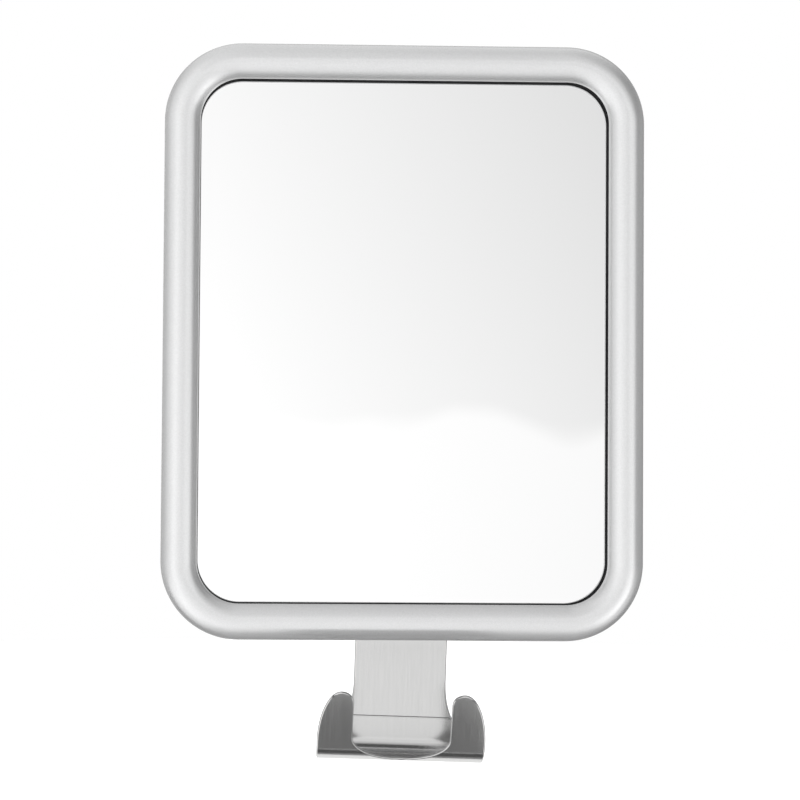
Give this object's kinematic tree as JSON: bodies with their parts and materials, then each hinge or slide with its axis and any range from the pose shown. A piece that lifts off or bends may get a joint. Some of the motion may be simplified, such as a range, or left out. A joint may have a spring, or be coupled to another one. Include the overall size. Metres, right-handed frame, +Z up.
{
  "type": "shower mirror",
  "caption": "Rounded rectangular shower mirror on a ball joint and a twist-lock suction cup, with a bent steel razor hook below it.",
  "frame": {"origin": "middle of the suction cup's face, on the wall", "axes": "+Z up, +X to the right of someone who looks into the mirror, +Y into the wall, so the mirror faces -Y"},
  "size_m": [0.165, 0.0777, 0.2469],
  "materials": {
    "frame_silver": "satin metallic silver paint with a fine flake",
    "mirror_coated": "silvered panel with a clear fog-free coating",
    "gasket_black": "matt black",
    "hook_steel": "brushed along the strip",
    "screw_steel": "bright zinc",
    "foam_tape": "closed-cell foam",
    "shell_grey": "fine moulded grain",
    "liner_nylon": "natural nylon",
    "stud_steel": "turned and plated",
    "cup_rubber": "smooth soft rubber"
  },
  "bodies": {
    "wall_cup": {"suction_cup": "cup_rubber", "cup_stem": "screw_steel", "cross_pin": "screw_steel"},
    "mount_base": {"mount_housing": "shell_grey", "ring_clip": "screw_steel", "swivel_washer": "liner_nylon", "swivel_cap": "shell_grey"},
    "twist_lock": {"lock_ring": "frame_silver"},
    "swivel_arm": {"ball_stud": "stud_steel"},
    "ball_liner": {"socket_liner": "liner_nylon"},
    "mirror_head": {"frame_bezel": "frame_silver", "mirror_panel": "mirror_coated", "seal_gasket": "gasket_black", "back_cover": "shell_grey", "foam_strip_left": "foam_tape", "foam_strip_right": "foam_tape", "foam_strip_top": "foam_tape", "foam_strip_bottom": "foam_tape", "cover_screw_1": "screw_steel", "cover_screw_2": "screw_steel", "cover_screw_3": "screw_steel", "cover_screw_4": "screw_steel", "cover_screw_5": "screw_steel", "cover_screw_6": "screw_steel", "socket_cap": "shell_grey", "cap_screw_1": "screw_steel", "cap_screw_2": "screw_steel", "cap_screw_3": "screw_steel", "hook_bracket": "hook_steel", "hook_screw_upper": "screw_steel", "hook_screw_lower": "screw_steel"}
  },
  "joints": [
    {"name": "base_press", "type": "slide", "parent": "wall_cup", "child": "mount_base", "axis": [0, 1, 0], "range_m": [0, 0.003]},
    {"name": "lock_twist", "type": "hinge", "parent": "mount_base", "child": "twist_lock", "pos_m": [0, 0, 0], "axis": [0, 1, 0], "range_deg": [0, 90]},
    {"name": "mirror_swivel", "type": "hinge", "parent": "mount_base", "child": "swivel_arm", "pos_m": [0, 0, 0], "axis": [0, 1, 0], "continuous": true},
    {"name": "mirror_tilt", "type": "hinge", "parent": "swivel_arm", "child": "ball_liner", "pos_m": [0, -0.0545, 0], "axis": [1, 0, 0], "range_deg": [-18, 18]},
    {"name": "mirror_pan", "type": "hinge", "parent": "ball_liner", "child": "mirror_head", "pos_m": [0, -0.0545, 0], "axis": [0, 0, 1], "range_deg": [-18, 18]}
  ],
  "couplings": [
    {"joint": "lock_twist", "follows": "base_press", "rad_per_m": 523.6}
  ]
}
